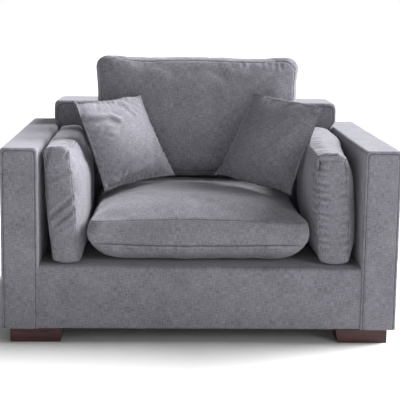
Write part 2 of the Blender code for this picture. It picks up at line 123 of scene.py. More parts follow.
# Folds across the scatter cushions' faces: from u, v to u, v, depth and width. Tucks are short
# gathers beside a seam, from u, v to u, v. Both run from -1 to 1 over the front panel
SCATTER_FOLDS = {
    "left": (
        ((-0.90, 0.62), (-0.30, 0.66), 0.010, 0.010),
        ((-0.32, 0.66), (-0.10, 0.50), 0.008, 0.009),
        ((-0.55, 0.38), (-0.35, 0.34), 0.005, 0.008),
        ((-0.62, 0.26), (-0.42, 0.22), 0.005, 0.008),
        ((0.22, 0.96), (0.52, 0.72), 0.007, 0.008),
        ((0.22, 0.90), (0.42, 0.60), 0.006, 0.008),
        ((0.86, -0.05), (0.55, -0.50), 0.007, 0.014),
        ((0.55, -0.50), (-0.30, -0.84), 0.007, 0.014),
    ),
    "right": (
        ((0.62, 0.70), (0.80, 0.62), 0.006, 0.008),
        ((0.30, -0.55), (0.80, -0.70), 0.004, 0.012),
        ((-0.40, 0.30), (0.10, 0.55), 0.003, 0.016),
    ),
}
SCATTER_TUCKS = {
    "left": (((-0.86, -0.94), (-0.50, -0.94)),),
    "right": (((0.95, 0.85), (0.90, -0.15)), ((0.55, -0.95), (0.90, -0.92))),
}

# Colours, linear: each pair is the darker and the lighter shade of one stuff
CHENILLE = ((0.112, 0.110, 0.130), (0.262, 0.258, 0.288))
# painted shade: the dark colour laid in each seam's groove and along the sunk row of top-stitching
SEAM_PAINTED_SHADE = (0.050, 0.049, 0.060)
CLOTH_SHEEN = (0.86, 0.86, 0.93, 1.0)
MAHOGANY = ((0.026, 0.006, 0.006), (0.070, 0.016, 0.016))
MAHOGANY_PORES = (0.012, 0.004, 0.004)
PINE = ((0.40, 0.25, 0.12), (0.62, 0.44, 0.25))
HARDBOARD = ((0.21, 0.12, 0.06), (0.36, 0.22, 0.11))
STEEL = ((0.22, 0.22, 0.23), (0.42, 0.41, 0.40))
WEBBING = ((0.03, 0.03, 0.03), (0.12, 0.12, 0.13))
ZIP_COIL = ((0.022, 0.022, 0.026), (0.070, 0.070, 0.078))
LINING = ((0.016, 0.016, 0.017), (0.034, 0.034, 0.036))
FLOOR = ((0.74, 0.74, 0.74), (0.76, 0.76, 0.76))


# ------------------------------------------------------------------ shader nodes


class Nodes:
    """A material's node tree, with one short call for each kind of node."""

    def __init__(self, name):
        self.material = bpy.data.materials.new(name)
        self.material.use_nodes = True
        self.tree = self.material.node_tree
        self.shader = self.tree.nodes["Principled BSDF"]

    def put(self, value, socket):
        """Feed a socket from another socket, or set its own value."""
        if isinstance(value, bpy.types.NodeSocket):
            self.tree.links.new(value, socket)
        else:
            socket.default_value = value

    def add(self, kind, **settings):
        node = self.tree.nodes.new(kind)
        for key, value in settings.items():
            setattr(node, key, value)
        return node

    def math(self, operation, *values):
        node = self.add("ShaderNodeMath", operation=operation)
        for value, socket in zip(values, node.inputs):
            self.put(value, socket)
        return node.outputs[0]

    def uv(self, layer):
        return self.add("ShaderNodeUVMap", uv_map=layer).outputs[0]

    def object_place(self):
        return self.add("ShaderNodeTexCoord").outputs["Object"]

    def split(self, vector):
        node = self.add("ShaderNodeSeparateXYZ")
        self.put(vector, node.inputs[0])
        return node.outputs

    def stretch(self, vector, scale):
        node = self.add("ShaderNodeMapping")
        self.put(vector, node.inputs["Vector"])
        node.inputs["Scale"].default_value = scale
        return node.outputs[0]

    def noise(self, vector, scale, detail=2.0, rough=0.5):
        node = self.add("ShaderNodeTexNoise")
        self.put(vector, node.inputs["Vector"])
        node.inputs["Scale"].default_value = scale
        node.inputs["Detail"].default_value = detail
        node.inputs["Roughness"].default_value = rough
        return node.outputs[0]

    def band(self, value, low, high, to_low=0.0, to_high=1.0):
        """Map low..high to to_low..to_high, clamped."""
        node = self.add("ShaderNodeMapRange", interpolation_type="SMOOTHSTEP")
        for item, socket in zip((value, low, high, to_low, to_high), node.inputs):
            self.put(item, socket)
        return node.outputs[0]

    def mix(self, factor, first, second):
        node = self.add("ShaderNodeMix", data_type="RGBA")
        colour_inputs = [s for s in node.inputs if s.type == "RGBA"]
        self.put(factor, node.inputs[0])
        for value, socket in zip((first, second), colour_inputs):
            self.put((*value, 1.0) if isinstance(value, tuple) else value, socket)
        return next(s for s in node.outputs if s.type == "RGBA")

    def bump(self, height, strength, distance, below=None):
        node = self.add("ShaderNodeBump")
        self.put(height, node.inputs["Height"])
        node.inputs["Strength"].default_value = strength
        node.inputs["Distance"].default_value = distance
        if below is not None:
            self.put(below, node.inputs["Normal"])
        return node.outputs[0]

    def finish(self, colour, roughness, normal=None, **fixed):
        """Feed the shader. fixed holds plain values, by input name with _ for each space."""
        self.put(colour, self.shader.inputs["Base Color"])
        self.put(roughness, self.shader.inputs["Roughness"])
        if normal is not None:
            self.put(normal, self.shader.inputs["Normal"])
        for key, value in fixed.items():
            self.shader.inputs[key.replace("_", " ")].default_value = value
        return self.material


def chenille():
    """Mid grey slub weave: short streaks both ways, soft pile shading, sheen and stitching; each
    seam gets painted shade, with a painted highlight beside it.
    """
    n = Nodes("grey_slub_chenille")
    weave = n.uv("weave")
    place = n.object_place()
    # the weave: yarns that swell and fade along their length, both ways
    across, along_yarn = 410.0, 42.0
    warp = n.noise(n.stretch(weave, (across, along_yarn, 1.0)), 1.0, 2.5, 0.6)
    weft = n.noise(n.stretch(weave, (along_yarn, across, 1.0)), 1.0, 2.5, 0.6)
    warp_slub = n.band(warp, 0.34, 0.68)
    weft_slub = n.band(weft, 0.34, 0.68)
    slubs = n.math("MULTIPLY", n.math("ADD", warp_slub, weft_slub), 0.5)
    yarn_u, yarn_v, _ = n.split(n.stretch(weave, (3500.0, 3500.0, 1.0)))
    yarns = n.math("MULTIPLY", n.math("SINE", yarn_u), n.math("SINE", yarn_v))
    # the tone: slubs, the way the pile lies, and broad patches
    pile = n.noise(place, 16.0, 4.0, 0.62)
    patches = n.noise(place, 4.5, 2.0)
    tone = n.math("ADD", n.math("MULTIPLY", slubs, 0.95), n.band(pile, 0.3, 0.7, -0.10, 0.10))
    tone = n.math("ADD", tone, n.band(patches, 0.3, 0.7, -0.08, 0.08))
    colour = n.mix(tone, *CHENILLE)
    # the sewing: a painted highlight on the rim beside each seam, painted shade along the seam's
    # groove, and one row of top-stitching, darkened a little as painted shade
    along, hem, _ = n.split(n.uv("stitch"))
    # painted highlight: the cloth within a few millimetres of each seam is made lighter, patchily
    # with the pile
    painted_seam_highlight = n.math("MULTIPLY", n.band(hem, 0.002, 0.016, 1.0, 0.0), n.band(pile, 0.35, 0.65))
    colour = n.mix(n.math("MULTIPLY", painted_seam_highlight, 0.28), colour, CHENILLE[1])
    # painted shade: darker in the seam's groove, and a little darker along the sunk stitch row
    seam = n.band(hem, 0.0008, 0.0030, 1.0, 0.0)
    from_row = n.math("ABSOLUTE", n.math("SUBTRACT", hem, STITCH_OFFSET))
    row = n.band(from_row, 0.0005, 0.0014, 1.0, 0.0)
    dash = n.math("SINE", n.math("MULTIPLY", along, math.tau / STITCH_PITCH))
    thread = n.math("MULTIPLY", row, n.band(dash, -0.7, -0.2))
    sewn = n.math("MAXIMUM", seam, n.math("MULTIPLY", row, 0.35))
    colour = n.mix(n.math("MULTIPLY", sewn, 0.76), colour, SEAM_PAINTED_SHADE)
    # the relief: slubs and yarns, then pile, then the stitches sunk in their row
    relief = n.math("ADD", n.math("MULTIPLY", slubs, 0.6), n.math("MULTIPLY", yarns, 0.16))
    normal = n.bump(relief, 0.55, 0.0009)
    normal = n.bump(pile, 0.16, 0.004, normal)
    stitched = n.math("SUBTRACT", n.math("MULTIPLY", thread, 0.7), row)
    normal = n.bump(stitched, 0.8, 0.0008, normal)
    rough = n.band(pile, 0.3, 0.7, 0.82, 0.96)
    return n.finish(colour, rough, normal, Sheen_Weight=0.42, Sheen_Roughness=0.38,
                    Sheen_Tint=CLOTH_SHEEN, Specular_IOR_Level=0.22)


def mahogany():
    """Dark red stained wood with long grain, pores and a satin varnish."""
    n = Nodes("satin_mahogany")
    place = n.object_place()
    grain = n.noise(n.stretch(place, (7.0, 90.0, 90.0)), 1.0, 5.0, 0.6)
    pores = n.noise(n.stretch(place, (60.0, 900.0, 900.0)), 1.0, 2.0)
    colour = n.mix(n.band(grain, 0.3, 0.7), *MAHOGANY)
    colour = n.mix(n.band(pores, 0.60, 0.75, 0.0, 0.6), colour, MAHOGANY_PORES)
    normal = n.bump(pores, 0.15, 0.0006)
    rough = n.band(grain, 0.3, 0.7, 0.27, 0.42)
    return n.finish(colour, rough, normal, Coat_Weight=0.10, Coat_Roughness=0.25,
                    Specular_IOR_Level=0.35)


def pine():
    """Sawn softwood: wide rings and fine fibres."""
    n = Nodes("sawn_pine_grain")
    place = n.object_place()
    rings = n.noise(n.stretch(place, (40.0, 9.0, 9.0)), 1.0, 3.0)
    fibres = n.noise(n.stretch(place, (260.0, 20.0, 260.0)), 1.0, 3.0)
    colour = n.mix(n.band(rings, 0.35, 0.65), *PINE)
    normal = n.bump(fibres, 0.4, 0.0008)
    return n.finish(colour, n.band(fibres, 0.3, 0.7, 0.62, 0.85), normal)


def hardboard():
    """Pressed board with flecks."""
    n = Nodes("pressed_hardboard")
    place = n.object_place()
    flecks = n.noise(place, 420.0, 3.0)
    colour = n.mix(n.band(flecks, 0.4, 0.65), *HARDBOARD)
    return n.finish(colour, 0.78, n.bump(flecks, 0.3, 0.0004))


def spring_steel():
    """Drawn wire, a little scuffed."""
    n = Nodes("oiled_spring_steel")
    place = n.object_place()
    scuffs = n.noise(n.stretch(place, (90.0, 240.0, 240.0)), 1.0, 3.0)
    colour = n.mix(scuffs, *STEEL)
    return n.finish(colour, n.band(scuffs, 0.3, 0.7, 0.25, 0.5), Metallic=1.0)


def elastic_webbing():
    """Woven elastic: two sets of ribs crossing."""
    n = Nodes("elastic_webbing_ribs")
    pitch = 0.004
    x, y, z = n.split(n.stretch(n.object_place(), (math.tau / pitch,) * 3))
    ribs = n.math("MULTIPLY", n.math("SINE", x), n.math("SINE", n.math("ADD", y, z)))
    colour = n.mix(n.band(ribs, -0.6, 0.6), *WEBBING)
    return n.finish(colour, 0.82, n.bump(ribs, 0.5, 0.0005))


def zip_teeth():
    """Dark tape with a coil of fine teeth."""
    n = Nodes("zip_coil")
    x, y, z = n.split(n.stretch(n.object_place(), (2400.0,) * 3))
    coil = n.math("SINE", n.math("ADD", n.math("ADD", x, y), z))
    colour = n.mix(n.band(coil, -0.4, 0.4), *ZIP_COIL)
    return n.finish(colour, n.band(coil, -0.4, 0.4, 0.75, 0.42), n.bump(coil, 0.6, 0.0004))


def lining():
    """Spun-bonded black lining with its pattern of bonded points."""
    n = Nodes("black_spunbond_lining")
    x, y, _ = n.split(n.stretch(n.object_place(), (2500.0, 2500.0, 1.0)))
    points = n.math("MULTIPLY", n.math("SINE", x), n.math("SINE", y))
    colour = n.mix(n.band(points, 0.2, 0.8), *LINING)
    return n.finish(colour, 0.9, n.bump(points, 0.4, 0.0003))


def studio_floor():
    """A plain pale floor."""
    n = Nodes("pale_studio_floor")
    grain = n.noise(n.object_place(), 3.0, 3.0)
    colour = n.mix(grain, *FLOOR)
    return n.finish(colour, 0.9)


# ------------------------------------------------------------------- sewn meshes


def grid_lines(length):
    """Places from -1 to 1 along a panel: close together beside each seam, then even."""
    half = length / 2
    near = [1 - step / half for step in SEAM_STEPS]
    inner = near[-1]
    count = max(2, round(2 * inner * half / GRID_STEP))
    even = [-inner + 2 * inner * index / count for index in range(1, count)]
    return [-value for value in near] + even + near[::-1]


def block_faces(grids):
    """Quads over a block's six sides: grid points, and for each face its axis and corners."""
    index_of = {}
    points = []
    faces = []
    for axis in range(3):
        first, second = [other for other in range(3) if other != axis]
        for end in (grids[axis][0], grids[axis][-1]):
            for a_pair in zip(grids[first], grids[first][1:]):
                for b_pair in zip(grids[second], grids[second][1:]):
                    corners = []
                    for i, j in ((0, 0), (1, 0), (1, 1), (0, 1)):
                        key = [end, end, end]
                        key[first] = a_pair[i]
                        key[second] = b_pair[j]
                        key = tuple(key)
                        if key not in index_of:
                            index_of[key] = len(points)
                            points.append(key)
                        corners.append(index_of[key])
                    faces.append((axis, corners))
    return np.array(points), faces


def sewn_box(name, size, place):
    """Two panels, at w = 1 and -1, joined by a gusset. size is the flat width, height and
    thickness. place turns grid points (n x 3, from -1 to 1) into points in chair space."""
    weave_shift = 1.7  # so that the weave doesn't match across a seam
    half = np.array(size) / 2
    points, faces = block_faces([grid_lines(length) for length in size])
    flat = points * half
    weave = []
    stitch = []
    for axis, corners in faces:
        first, second = [other for other in range(3) if other != axis]
        room = half - abs(flat[corners].mean(0))
        across = 2 if axis != 2 else (0 if room[0] < room[1] else 1)
        run = next(other for other in (0, 1) if other not in (axis, across))
        for corner in corners:
            weave.append((flat[corner][first] + axis * weave_shift, flat[corner][second]))
            stitch.append((flat[corner][run], half[across] - abs(flat[corner][across])))
    rim_distance = np.where(
        abs(points[:, 2]) > PANEL,
        np.minimum(half[0] - abs(flat[:, 0]), half[1] - abs(flat[:, 1])),
        half[2] - abs(flat[:, 2]),
    )
    quads = [corners for _, corners in faces]
    return sewn_piece(name, place(points), quads, weave, stitch, rim_distance)


def pillow(name, corners, thickness, place):
    """Two square panels sewn together round their rims, with no gusset."""
    weave_shift = 0.9
    low_left, low_right, high_right, high_left = corners
    width = ((low_right - low_left).length + (high_right - high_left).length) / 2
    height = ((high_left - low_left).length + (high_right - low_right).length) / 2
    half = np.array((width, height, thickness)) / 2
    points, faces = block_faces([grid_lines(width), grid_lines(height), [-1.0, 1.0]])
    # the two panels meet at the rim, so the block's side faces are left out
    panels = [corners for axis, corners in faces if axis == 2]
    flat = points * half
    weave = []
    stitch = []
    for panel in panels:
        middle = flat[panel].mean(0)
        room = half - abs(middle)
        across = 0 if room[0] < room[1] else 1
        for corner in panel:
            weave.append((flat[corner][0] + weave_shift * (middle[2] > 0), flat[corner][1]))
            stitch.append((flat[corner][1 - across], half[across] - abs(flat[corner][across])))
    rim_distance = np.minimum(half[0] - abs(flat[:, 0]), half[1] - abs(flat[:, 1]))
    piece = sewn_piece(name, place(points), panels, weave, stitch, rim_distance)
    weld(piece)
    return piece


def sewn_piece(name, points, quads, weave, stitch, rim_distance):
    """An object with two UV layers, for the weave and for the sewing, and with each point's
    distance from its nearest seam."""
    mesh = bpy.data.meshes.new(name)
    mesh.from_pydata(points.tolist(), [], quads)
    for layer, values in (("weave", weave), ("stitch", stitch)):
        flat_values = np.asarray(values, np.float32).ravel()
        mesh.uv_layers.new(name=layer).data.foreach_set("uv", flat_values)
    attribute = mesh.attributes.new("rim", "FLOAT", "POINT")
    attribute.data.foreach_set("value", np.asarray(rim_distance, np.float32))
    piece = bpy.data.objects.new(name, mesh)
    bpy.context.scene.collection.objects.link(piece)
    face_outwards(piece)
    return piece


def with_bmesh(piece, change):
    """Change an object's mesh with bmesh."""
    form = bmesh.new()
    form.from_mesh(piece.data)
    change(form)
    form.to_mesh(piece.data)
    form.free()


def face_outwards(piece):
    with_bmesh(piece, lambda form: bmesh.ops.recalc_face_normals(form, faces=form.faces))


def weld(piece):
    """Join the two panels where they meet."""
    with_bmesh(piece, lambda form: bmesh.ops.remove_doubles(form, verts=form.verts, dist=0.0001))
    face_outwards(piece)


def read_vectors(items, key):
    values = np.empty(len(items) * 3, np.float32)
    items.foreach_get(key, values)
    return values.reshape(-1, 3).astype(float)


def read_points(mesh):
    return read_vectors(mesh.vertices, "co")


def read_normals(mesh):
    return read_vectors(mesh.vertex_normals, "vector")


def write_points(mesh, points):
    mesh.vertices.foreach_set("co", np.asarray(points, np.float32).ravel())
    mesh.update()


def read_rim(mesh):
    """Each point's distance from its nearest seam."""
    values = np.empty(len(mesh.vertices), np.float32)
    mesh.attributes["rim"].data.foreach_get("value", values)
    return values.astype(float)


def inflate(piece, gather, cap):
    """Blow the cover up as cloth whose seams are gathered shorter by a share, bring it back to
    its size, and keep each point within cap of where it began. The result goes into the mesh,
    so no modifier stays."""
    before = read_points(piece.data)
    rim = read_rim(piece.data)
    middle = (before.min(0) + before.max(0)) / 2
    group = piece.vertex_groups.new(name="gathered")
    for index in np.nonzero(rim < GATHERED_RIM)[0]:
        group.add([int(index)], 1.0, "REPLACE")
    cloth = piece.modifiers.new("inflate", "CLOTH")
    settings = cloth.settings
    settings.quality = 4
    settings.mass = CLOTH_MASS
    settings.tension_stiffness = CLOTH_STRETCH
    settings.compression_stiffness = CLOTH_STRETCH
    settings.shear_stiffness = CLOTH_SHEAR
    settings.bending_stiffness = CLOTH_BENDING
    settings.use_pressure = True
    settings.uniform_pressure_force = CLOTH_PRESSURE
    settings.effector_weights.gravity = 0.0
    settings.vertex_group_shrink = "gathered"
    settings.shrink_min = 0.0
    settings.shrink_max = gather
    cloth.collision_settings.use_collision = False
    cloth.point_cache.frame_start = 1
    cloth.point_cache.frame_end = CLOTH_STEPS
    scene = bpy.context.scene
    for step in range(1, CLOTH_STEPS + 1):
        scene.frame_set(step)
    graph = bpy.context.evaluated_depsgraph_get()
    after = read_points(piece.evaluated_get(graph).data)
    piece.modifiers.remove(cloth)
    piece.vertex_groups.clear()
    scene.frame_set(1)
    after = (after - after.mean(0)) * np.ptp(before, axis=0) / np.ptp(after, axis=0)
    after += middle - (after.min(0) + after.max(0)) / 2
    move = after - before
    far = np.linalg.norm(move, axis=1)
    keep = np.minimum(1.0, cap / np.maximum(far, TINY))
    write_points(piece.data, before + move * keep[:, None])


def subdivide(piece):
    """One round of subdivision, put into the mesh."""
    piece.modifiers.new("smooth", "SUBSURF").levels = 1
    graph = bpy.context.evaluated_depsgraph_get()
    finer = bpy.data.meshes.new_from_object(piece.evaluated_get(graph))
    piece.modifiers.clear()
    coarse = piece.data
    piece.data = finer
    bpy.data.meshes.remove(coarse)
    finer.name = piece.name


def noise_at(points, wavelength, seed):
    """Smooth noise from -1 to 1 at each point."""
    shift = Vector((seed * 7.13, seed * 3.71, seed * 1.37))
    return np.array([noise.noise(Vector(p) / wavelength + shift) for p in points])


def soften(piece, seed, lumps, puckers, sink=1.0):
    """Lumps of filling, and the pucker that sewing puts beside a seam; then the seam itself.
    sink limits how far the cloth may go in."""
    mesh = piece.data
    points = read_points(mesh)
    normals = read_normals(mesh)
    rim = read_rim(mesh)
    broad = noise_at(points, LUMP, seed)
    small = noise_at(points, SMALL_LUMP, seed + 5)
    fine = noise_at(points, PUCKER, seed + 9)
    height = lumps * broad + lumps * 0.4 * small
    height += puckers * fine * np.exp(-(rim / PUCKER_REACH) ** 2)
    height -= SEAM_DEPTH * np.exp(-(rim / SEAM_WIDTH) ** 2)
    height = np.maximum(height, -sink)
    write_points(mesh, points + normals * height[:, None])


def crease(piece, start, end, depth, width):
    """Press a fold into the cloth along a line, with a raised lip on each side of it. The gap
    to the line is measured along the cloth, so the line may lie a little off it."""
    mesh = piece.data
    points = read_points(mesh)
    normals = read_normals(mesh)
    start, end = np.array(start), np.array(end)
    along = end - start
    t = np.clip((points - start) @ along / (along @ along), 0.0, 1.0)
    aside = points - (start + t[:, None] * along)
    above = (aside * normals).sum(axis=1)
    gap = np.linalg.norm(aside - above[:, None] * normals, axis=1)
    fade = np.sin(np.pi * np.clip(t, 0.03, 0.97)) ** 0.5  # shallow at both ends
    valley = np.exp(-(gap / width) ** 2)
    lip = np.exp(-((gap - 2.0 * width) / width) ** 2)
    height = depth * fade * (0.45 * lip - valley)
    near = (gap < 5 * width) & (abs(above) < CREASE_REACH)
    points[near] += normals[near] * height[near, None]
    write_points(mesh, points)


def gathers(piece, start, end, away, count, depth, seed, width=GATHER_WIDTH):
    """A row of short creases running away from a seam, each of its own length."""
    start, end, away = Vector(start), Vector(end), Vector(away)
    for index in range(count):
        wander = noise.noise(Vector((seed, index * 0.73, 0.0)))
        foot = start.lerp(end, (index + 0.5 + 0.6 * wander) / count)
        tip = foot + away * (1.0 + 0.8 * wander)
        crease(piece, foot, tip, depth * (1.0 + 0.5 * wander), width)


def keep_inside(piece, low, high):
    """Flatten the piece where it would leave the space between two corners."""
    points = read_points(piece.data)
    write_points(piece.data, np.clip(points, np.array(low), np.array(high)))


def dress(piece, cloth, body, stands_for):
    """Give a finished soft piece its cloth, body and slot, and hide the CAD nodes it stands for.
    """
    for polygon in piece.data.polygons:
        polygon.use_smooth = True
    piece.data.materials.clear()
    piece.data.materials.append(cloth)
    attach(piece, body)
    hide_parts(*stands_for)


# ------------------------------------------------------------------- form shapes


def rounded_outline(u, v, reach_x, reach_y, corner):
    """Panel points u, v on a rectangle of these half sizes whose corners are rounded."""
    level = np.maximum(np.maximum(abs(u), abs(v)), TINY)
    edge_x = u / level * reach_x
    edge_y = v / level * reach_y
    core_x = np.clip(edge_x, corner - reach_x, reach_x - corner)
    core_y = np.clip(edge_y, corner - reach_y, reach_y - corner)
    out_x = edge_x - core_x
    out_y = edge_y - core_y
    length = np.maximum(np.hypot(out_x, out_y), TINY)
    round_x = level * (core_x + out_x / length * corner)
    round_y = level * (core_y + out_y / length * corner)
    share = level ** 6  # the middle of the panel keeps its square grid
    x = u * reach_x * (1 - share) + round_x * share
    y = v * reach_y * (1 - share) + round_y * share
    return x, y


def rolled_edge(w, half_depth, roll):
    """How far out and how deep a gusset point lies, when the gusset's ends roll over onto the
    panels with this radius."""
    length = half_depth * (1 - abs(w))
    quarter = roll * math.pi / 2
    angle = np.minimum(length / roll, math.pi / 2)
    out = roll * np.sin(angle)
    depth = half_depth - roll * (1 - np.cos(angle)) - np.maximum(length - quarter, 0.0)
    # the roll takes up more cloth than depth, and the difference is spread along the gusset
    spare = half_depth - roll - np.maximum(half_depth - quarter, 0.0)
    depth = np.maximum(depth - spare * (1 - abs(w)), 0.0)
    return out, depth * np.sign(w)


def to_chair(x, y, z, middle, axes):
    """Local x, y and z along three axes in chair space, from a middle point."""
    return np.stack([x, y, z], axis=1) @ np.array(axes) + np.array(middle)


def upholstered_place(low, high, axes, rolls, corner, puff):
    """place() for a padded block between two corners: its panels, at the ends of the third
    axis, are edged by the rolled gusset, and the one at the far end puffs out a little. rolls
    are the edges' radii at the two ends. The block runs on below, where keep_inside() cuts it
    flat."""
    low_roll, high_roll = rolls
    low = low - UP * 2 * max(rolls)
    middle = (low + high) / 2
    extent = high - low
    half = [abs(extent.dot(axis)) / 2 for axis in axes]

    def place(points):
        u, v, w = points.T
        roll = np.where(w < 0, low_roll, high_roll)
        rise = np.where(w < 0, 0.0, puff)
        out, depth = rolled_edge(w, half[2] - rise, roll)
        x, y = rounded_outline(u, v, half[0] - roll + out, half[1] - roll + out, corner)
        swell = (1 - u ** 2) * (1 - v ** 2)
        depth = depth + rise * swell * (w > PANEL)
        return to_chair(x, y, depth, middle, axes)

    return tuple(2 * length for length in half), place


def cushion_place(middle, axes, size, bulge, corners, crowns, powers):
    """place() for a box cushion: a bulging gusset round two crowned panels. corners are the
    outline's radii at -v and v. crowns are the panels' heights at -w and w, and powers say how
    full the two panels are towards the ends of u, of -v and of v."""
    half = np.array(size) / 2

    def place(points):
        u, v, w = points.T
        out = bulge * (1 - w ** 2)
        corner = np.where(v < 0, corners[0], corners[1])
        x, y = rounded_outline(u, v, half[0] + out, half[1] + out, corner)
        ends, low_end, high_end = [np.where(w < 0, below, above) for below, above in powers]
        crown = np.where(w < 0, crowns[0], crowns[1])
        swell = (1 - abs(u) ** ends) * (1 - abs(v) ** np.where(v < 0, low_end, high_end))
        z = w * half[2] + np.where(abs(w) > PANEL, np.sign(w) * crown * swell, 0.0)
        return to_chair(x, y, z, middle, axes)

    return place


# ------------------------------------------------------------------- upholstery


def make_arm(side, ending, cloth):
    """A slab arm: its front panel is seamed along its edges."""
    low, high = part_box(f"arm_cover_{ending}")
    size, place = upholstered_place(low, high, (RIGHT, UP, -REARWARDS), rolls=(0.008, 0.010),
                                    corner=0.014, puff=0.002)
    arm = sewn_box(f"arm_{ending}", size, place)
    subdivide(arm)
    soften(arm, 3 + side, lumps=0.0016, puckers=0.0007, sink=0.003)
    keep_inside(arm, low, high)
    dress(arm, cloth, "frame", [f"arm_cover_{ending}", f"arm_foam_{ending}"])


def make_base(cloth):
    """The box base, with its front turned over a soft edge onto the deck. Its ends run a little
    way into the arms, so that no gap shows."""
    low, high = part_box("base_cover")
    into_arms = 0.008 * RIGHT
    low, high = low - into_arms, high + into_arms
    size, place = upholstered_place(low, high, (REARWARDS, UP, RIGHT), rolls=(0.004, 0.004),
                                    corner=0.018, puff=0.0)
    base = sewn_box("base", size, place)
    subdivide(base)
    soften(base, 11, lumps=0.0026, puckers=0.0007, sink=0.003)
    keep_inside(base, low, high)
    stands_for = ["base_cover", "front_rail_foam", "deck_pad"]
    dress(base, cloth, "frame", stands_for)


def make_back(cloth):
    """The back: its front leans, and it spreads a little above the arms."""
    low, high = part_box("back_cover")
    arm_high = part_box("arm_cover_left")[1]
    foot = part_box("base_cover")[1].z
    size, upright = upholstered_place(low, high, (RIGHT, UP, -REARWARDS), rolls=(0.003, 0.014),
                                      corner=0.022, puff=0.003)
    gap_above_arms = 0.002
    spreads_over = 0.012

    def place(points):
        x, y, z = upright(points).T
        behind = (y - low.y) / (high.y - low.y)
        front = low.y + (z - foot).clip(0) * RAKE.y / RAKE.z
        above = np.clip((z - arm_high.z - gap_above_arms) / spreads_over, 0, 1)
        narrow = (-arm_high.x - CLEAR) / high.x
        width = narrow + (1 - narrow) * above
        return np.stack([x * width, front + behind * (high.y - front), z], axis=1)

    back = sewn_box("back", size, place)
    subdivide(back)
    soften(back, 17, lumps=0.0025, puckers=0.0008, sink=0.0006)
    keep_inside(back, low, high)
    dress(back, cloth, "frame", ["back_cover", "back_foam"])


# ---------------------------------------------------------------- loose cushions


def zip_into(cushion, body, place, run, cloth_side, material):
    """A zip along one side of a cushion: a tape with raised teeth down its middle, laid on the
    finished cover. run is the grid axis it follows and cloth_side the (axis, end) it is in."""
    graph = bpy.context.evaluated_depsgraph_get()
    surface = BVHTree.FromObject(cushion, graph)
    axis, end = cloth_side
    across_axis = 3 - run - axis
    rows = []
    for index in range(ZIP_STEPS + 1):
        for across, height in ZIP_PROFILE:
            point = [0.0, 0.0, 0.0]
            point[run] = -ZIP_REACH + 2 * ZIP_REACH * index / ZIP_STEPS
            point[axis] = end
            point[across_axis] = across
            rows.append((point, height))
    guesses = place(np.array([point for point, _ in rows]))
    points = []
    for guess, (_, height) in zip(guesses, rows):
        nearest, normal, _, _ = surface.find_nearest(Vector(guess))
        points.append(nearest + normal * (height + ZIP_LIFT))
    width = len(ZIP_PROFILE)
    faces = []
    for index in range(ZIP_STEPS):
        for step in range(width - 1):
            first = index * width + step
            faces.append((first, first + 1, first + width + 1, first + width))
    name = f"{body}_zipper"
    node = f"{body}_zip"
    mesh = bpy.data.meshes.new(name)
    mesh.from_pydata(points, [], faces)
    mesh.materials.append(material)
    strip = bpy.data.objects.new(name, mesh)
    bpy.context.scene.collection.objects.link(strip)
    face_outwards(strip)
    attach(strip, body)
    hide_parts(node)


def finish_cushion(piece, name, cloth):
    """A loose cushion has its own body, and stands for its cover and its filling."""
    stands_for = [f"{name}_cover", f"{name}_core"]
    dress(piece, cloth, name, stands_for)


def make_seat_cushion(cloth, zip_tape):
    """A deep box cushion: a flat-bottomed, crowned block with gathers along its front seams."""
    name = "seat_cushion"
    low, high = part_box("seat_cushion_cover")
    bulge = 0.012
    strip = 0.100
    narrowing = 0.010
    swell_below, swell_above = 0.006, 0.004
    size = (high.x - low.x - 2 * bulge - narrowing, high.y - low.y - 2 * bulge, strip)
    middle = (low + high) / 2 + Vector((-0.008, 0, 0.003))
    crowns = (middle.z - strip / 2 - low.z + swell_below,
              high.z - middle.z - strip / 2 + swell_above)
    straight = cushion_place(middle, (RIGHT, REARWARDS, UP), size, bulge, (0.046, 0.040), crowns,
                             powers=((12.0, 4.5), (12.0, 3.6), (14.0, 20.0)))

    def place(points):
        """The sides pull in between the corners, to make room for the side cushions."""
        u, v, _ = points.T
        return straight(points) - np.outer(SIDE_PULL * u * (1 - v ** 2), RIGHT)

    seat = sewn_box(name, size, place)
    inflate(seat, 0.03, 0.010)
    subdivide(seat)
    soften(seat, 23, lumps=0.004, puckers=0.0012)
    reach, upper_seam, lower_seam = 0.36, 0.436, 0.330
    gathers(seat, (-reach, low.y, upper_seam), (reach, low.y, upper_seam), (0, 0.015, 0.022),
            count=13, depth=0.0016, seed=2.0)
    gathers(seat, (-reach, low.y, lower_seam), (reach, low.y, lower_seam), (0, -0.002, 0.024),
            count=11, depth=0.0014, seed=3.0)
    spare = Vector((0.004, 0, 0))
    keep_inside(seat, low - spare, high)
    finish_cushion(seat, name, cloth)
    zip_into(seat, name, place, 0, (1, 1.0), zip_tape)


